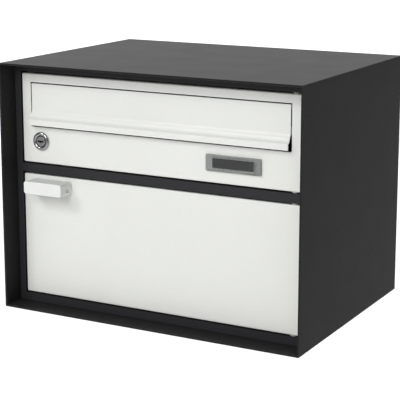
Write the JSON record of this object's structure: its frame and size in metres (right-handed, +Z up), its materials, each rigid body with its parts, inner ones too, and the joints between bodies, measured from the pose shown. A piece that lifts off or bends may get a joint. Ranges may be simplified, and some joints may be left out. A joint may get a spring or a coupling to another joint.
{
  "type": "wall mounted mailbox",
  "caption": "Wall mounted mailbox with a letter compartment over a parcel compartment, two hinged doors, a slot flap, a cam lock, a name plate and a pull handle.",
  "frame": {"origin": "centre of the rear face that lies on the wall", "axes": "+Z up, -Y towards the viewer and the doors, +Y into the wall, +X to the viewer's right, where the doors are hinged"},
  "size_m": [0.414, 0.31, 0.315],
  "materials": {
    "anthracite_powder_coat": "fine-texture matt powder coat",
    "inner_powder_coat": "matt powder coat",
    "white_powder_coat": "smooth satin powder coat",
    "zinc_plated_steel": "bright zinc plate",
    "polished_chrome": "polished",
    "natural_nylon": "natural, slightly translucent",
    "black_rubber": "matt",
    "clear_plastic": "clear, polished",
    "dark_label_card": "blank printed card",
    "white_moulded_plastic": "fine-grained moulding",
    "ferrite_magnet": "sintered"
  },
  "bodies": {
    "box": {"outer_shell": "anthracite_powder_coat", "rear_panel": "anthracite_powder_coat", "carcass_back": "inner_powder_coat", "carcass_side_left": "inner_powder_coat", "carcass_side_right": "inner_powder_coat", "carcass_top": "inner_powder_coat", "carcass_floor": "inner_powder_coat", "divider": "inner_powder_coat", "wall_spacer_left_top": "zinc_plated_steel", "wall_spacer_left_bottom": "zinc_plated_steel", "wall_spacer_right_top": "zinc_plated_steel", "wall_spacer_right_bottom": "zinc_plated_steel", "hinge_pin_top": "zinc_plated_steel", "hinge_pin_middle": "zinc_plated_steel", "hinge_pin_bottom": "zinc_plated_steel", "lock_strike": "zinc_plated_steel", "door_buffer": "black_rubber", "catch_housing": "white_moulded_plastic", "catch_magnet": "ferrite_magnet"},
    "letter_door": {"letter_door_panel": "white_powder_coat", "letter_hinge_bush_top": "natural_nylon", "letter_hinge_bush_bottom": "natural_nylon", "flap_bracket_left": "zinc_plated_steel", "flap_bracket_right": "zinc_plated_steel", "flap_rod": "zinc_plated_steel", "lock_housing": "polished_chrome", "lock_nut": "zinc_plated_steel", "name_plate_base": "clear_plastic", "name_label": "dark_label_card"},
    "slot_flap": {"slot_flap": "white_powder_coat"},
    "lock_rotor": {"lock_plug": "polished_chrome", "lock_cam": "zinc_plated_steel", "cam_nut": "zinc_plated_steel"},
    "name_plate_cover": {"name_plate_cover": "clear_plastic"},
    "parcel_door": {"parcel_door_panel": "white_powder_coat", "parcel_hinge_bush_top": "natural_nylon", "parcel_hinge_bush_bottom": "natural_nylon", "door_handle": "white_moulded_plastic", "handle_screw_left": "zinc_plated_steel", "handle_screw_right": "zinc_plated_steel"}
  },
  "joints": [
    {"name": "letter_door_hinge", "type": "hinge", "parent": "box", "child": "letter_door", "pos_m": [0.184, -0.275, 0.0855], "axis": [0, 0, 1], "range_deg": [0, 90]},
    {"name": "parcel_door_hinge", "type": "hinge", "parent": "box", "child": "parcel_door", "pos_m": [0.184, -0.275, -0.064], "axis": [0, 0, 1], "range_deg": [0, 110]},
    {"name": "slot_flap_hinge", "type": "hinge", "parent": "letter_door", "child": "slot_flap", "pos_m": [0, -0.277, 0.127], "axis": [1, 0, 0], "range_deg": [-75, 0]},
    {"name": "lock_turn", "type": "hinge", "parent": "letter_door", "child": "lock_rotor", "pos_m": [-0.1654, -0.28, 0.0573], "axis": [0, 1, 0], "range_deg": [0, 90]},
    {"name": "name_plate_cover_pull", "type": "slide", "parent": "letter_door", "child": "name_plate_cover", "axis": [0, -1, 0], "range_m": [0, 0.03]}
  ]
}
